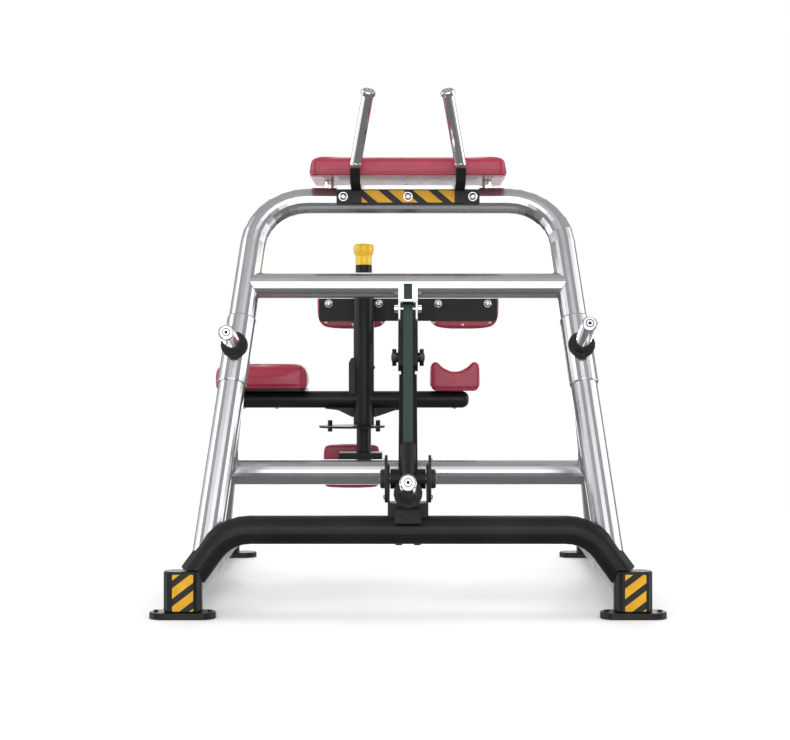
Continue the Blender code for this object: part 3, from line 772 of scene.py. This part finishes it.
low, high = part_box("hip_plate")
bolts(
    "hip_plate_bolts",
    [((x, low.y, 0.841), FRONT, 24 * MM) for x in (-0.242, -0.088, 0.092, 0.243)],
    "thrust_arm",
    "chrome",
)
low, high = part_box("hip_pad_left")
spots = ((0.250, 0.784), (0.167, 0.777), (0.079, 0.784))
screws = [(sign * x, z) for sign in (-1, 1) for x, z in spots]
bolts(
    "hip_pad_screws",
    [((x, low.y + 0.3 * MM, z), FRONT, 8.5 * MM) for x, z in screws],
    "thrust_arm",
    "chrome",
)
low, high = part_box("shin_board")
middle = (low + high) / 2
bolts(
    "shin_board_bolts",
    [((middle.x + x, low.y, middle.z), FRONT, 12 * MM) for x in (-0.058, 0.058)],
    "frame",
    "chrome",
)
low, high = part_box("swivel_sleeve")
middle = (low + high) / 2
bolts(
    "sleeve_pin",
    [((high.x, middle.y, 0.646), (1, 0, 0), 11 * MM)],
    "knee_rest",
    "dark_steel",
)
under_arm = [
    ("knee_arm_left", -0.486),
    ("knee_arm_left", -0.389),
    ("knee_arm_right", 0.138),
]
bolts(
    "arm_bolts",
    [(surface(node, (x, middle.y, 0.3), UP), DOWN, 13 * MM) for node, x in under_arm],
    "knee_rest",
    "chrome",
)
low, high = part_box("knee_pad")
bolts(
    "knee_pad_screws",
    [
        ((x, low.y + 6.5 * MM, low.z + 0.6 * MM), DOWN, 6 * MM)
        for x in (-0.52, -0.427, -0.335)
    ],
    "knee_rest",
    "chrome",
)
low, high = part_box("forearm_pad")
bolts(
    "forearm_pad_screws",
    [
        ((x, y, low.z + 0.6 * MM), DOWN, 9 * MM)
        for x in (-0.235, 0.0, 0.235)
        for y in (low.y + 0.045, high.y - 0.045)
    ],
    "frame",
    "chrome",
)
bolts(
    "base_bar_bolts",
    [
        (surface("base_bar", (x, -0.500, 0.0), UP), DOWN, 20 * MM)
        for x in (-0.024, 0.024)
    ],
    "frame",
    "dark_steel",
    hex_bolt,
)
for side, sign in (("left", -1), ("right", 1)):
    node = "pivot_bearing_" + side
    low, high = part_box(node)
    middle = (low + high) / 2
    outward = (sign, 0, 0)
    inward = (-sign, 0, 0)
    spots = [
        surface(node, (sign * 0.2, middle.y, z), inward)
        for z in (low.z + 14 * MM, high.z - 14 * MM)
    ]
    bolts(
        node + "_bolts",
        [(spot, outward, 12 * MM) for spot in spots if spot],
        "frame",
        "chrome",
        hex_bolt,
    )


def far_end(node, guess):
    """The middle of a rod's end face, the way it faces and its radius."""
    data = frame["nodes"][node].data
    direction = Vector(guess).normalized()
    for least in (0.93, 0.97, 0.99):
        facing = [p for p in data.polygons if p.normal.dot(direction) > least]
        reach = max(p.center.dot(direction) for p in facing)
        facing = [p for p in facing if reach - p.center.dot(direction) < 3 * MM]
        direction = sum((p.normal * p.area for p in facing), Vector()).normalized()
    points = [data.vertices[i].co for p in facing for i in p.vertices]
    top = max(p.dot(direction) for p in points)
    rim = [p for p in points if top - p.dot(direction) < 0.5 * MM]
    low = Vector([min(p[k] for p in rim) for k in range(3)])
    high = Vector([max(p[k] for p in rim) for k in range(3)])
    middle = (low + high) / 2
    return middle, direction, max((p - middle).length for p in rim)


ROD_ENDS = {
    "weight_horn": ((0, -1, 0.2), "pendulum"),
    "storage_horn_left": ((0, -1, 0.3), "frame"),
    "storage_horn_right": ((0, -1, 0.3), "frame"),
    "grip_left": ((0, -0.5, 1), "frame"),
    "grip_right": ((0, -0.5, 1), "frame"),
}
for node, (guess, body) in ROD_ENDS.items():
    end, direction, radius = far_end(node, guess)
    radius = min(radius, 26 * MM)
    plug = [
        (radius * 0.70, -0.2 * MM),
        (radius * 0.70, 0.25 * MM),
        (radius * 0.05, 0.3 * MM),
    ]
    disc = lathe(plug, end, direction)
    add_mesh(node + "_end_plug", disc, LOOKS["rubber"], body)
    profile = [
        (radius * 0.26, 0.1 * MM),
        (radius * 0.28, 0.8 * MM),
        (radius * 0.54, 0.8 * MM),
        (radius * 0.57, 0.1 * MM),
    ]
    ring = lathe(profile, end, direction, ring=True)
    add_mesh(node + "_end_ring", ring, LOOKS["chrome"], body)

# -------------------------------------------------- floor, lights and camera


def make_floor():
    """A pale floor that fades out round the object."""
    mesh = bpy.data.meshes.new("floor")
    reach = 14.0
    signs = ((-1, -1), (1, -1), (1, 1), (-1, 1))
    mesh.from_pydata([(x * reach, y * reach, 0) for x, y in signs], [], [(0, 1, 2, 3)])
    floor = bpy.data.objects.new("floor", mesh)
    bpy.context.scene.collection.objects.link(floor)
    floor.location.z = -0.3 * MM
    s = Shader("pale_floor", (0.90, 0.90, 0.90), 0.0, 0.75)
    length = s.node("ShaderNodeVectorMath", Vector=s.coords)
    length.operation = "LENGTH"
    fade = s.span(length.outputs["Value"], 1.25, 3.4)
    clear = s.node("ShaderNodeBsdfTransparent")
    mixed = s.tree.nodes.new("ShaderNodeMixShader")
    s.feed(mixed.inputs[0], fade)
    s.feed(mixed.inputs[1], s.bsdf.outputs[0])
    s.feed(mixed.inputs[2], clear.outputs[0])
    s.feed(s.tree.nodes["Material Output"].inputs["Surface"], mixed.outputs[0])
    mesh.materials.append(s.material)
    floor.visible_glossy = False


def make_world():
    """A white backdrop; reflections and light come from grey walls and four softboxes."""
    world = bpy.data.worlds.new("studio")
    bpy.context.scene.world = world
    world.use_nodes = True
    tree = world.node_tree

    def node(kind, operation=None, inputs=()):
        made = tree.nodes.new(kind)
        if operation:
            made.operation = operation
        for number, value in enumerate(inputs):
            if isinstance(value, bpy.types.NodeSocket):
                tree.links.new(value, made.inputs[number])
            else:
                made.inputs[number].default_value = value
        return made.outputs[0]

    coords = tree.nodes.new("ShaderNodeTexCoord")
    split = tree.nodes.new("ShaderNodeSeparateXYZ")
    tree.links.new(coords.outputs["Generated"], split.inputs[0])
    x, y, z = split.outputs
    angle = node("ShaderNodeMath", "ARCTAN2", (y, x))
    turn = node("ShaderNodeMath", "MULTIPLY", (angle, 4.0))
    waves = node("ShaderNodeMath", "COSINE", (turn,))
    lobe = node("ShaderNodeMapRange", None, (waves, -0.45, 0.25, 0.0, 1.0))
    low_edge = node("ShaderNodeMapRange", None, (z, -0.42, -0.24, 0.0, 1.0))
    high_edge = node("ShaderNodeMapRange", None, (z, 0.52, 0.74, 1.0, 0.0))
    above = node("ShaderNodeMath", "MULTIPLY", (lobe, low_edge))
    box = node("ShaderNodeMath", "MULTIPLY", (above, high_edge))
    sky = node("ShaderNodeMapRange", None, (z, -0.25, 0.9, 0.18, 0.50))
    lit = node("ShaderNodeMath", "MULTIPLY", (box, 1.9))
    glow = node("ShaderNodeMath", "ADD", (sky, lit))
    seen = tree.nodes.new("ShaderNodeLightPath").outputs["Is Camera Ray"]
    mix = tree.nodes.new("ShaderNodeMix")
    tree.links.new(seen, mix.inputs["Factor"])
    tree.links.new(glow, mix.inputs["A"])
    mix.inputs["B"].default_value = 1.0
    tree.links.new(mix.outputs["Result"], tree.nodes["Background"].inputs["Color"])
    tree.nodes["Background"].inputs["Strength"].default_value = 1.0


def area_light(name, location, target, size, energy):
    data = bpy.data.lights.new(name, "AREA")
    data.size = size
    data.energy = energy
    light = bpy.data.objects.new(name, data)
    bpy.context.scene.collection.objects.link(light)
    light.location = location
    light.visible_glossy = False
    aim = Vector(target) - Vector(location)
    light.rotation_euler = aim.to_track_quat("-Z", "Y").to_euler()


make_floor()
make_world()
area_light("key", (-2.4, -3.6, 3.2), (0, 0, 0.6), 2.2, 55)
area_light("fill", (2.8, -3.2, 1.8), (0, 0, 0.6), 2.0, 28)
area_light("top", (0, -0.2, 4.2), (0, 0, 0), 3.6, 60)
area_light("back", (0.6, 3.4, 2.4), (0, 0, 0.8), 2.2, 30)

camera_data = bpy.data.cameras.new("camera")
camera_data.lens = 68.35
camera_data.sensor_width = 36
camera_data.sensor_fit = "HORIZONTAL"
camera_data.shift_x = -0.01646
camera = bpy.data.objects.new("camera", camera_data)
camera.location = (0, -4.3913, 0.6385)
camera.rotation_euler = (math.radians(90), 0, 0)
bpy.context.scene.collection.objects.link(camera)
bpy.context.scene.camera = camera
bpy.context.scene.view_settings.view_transform = "Standard"
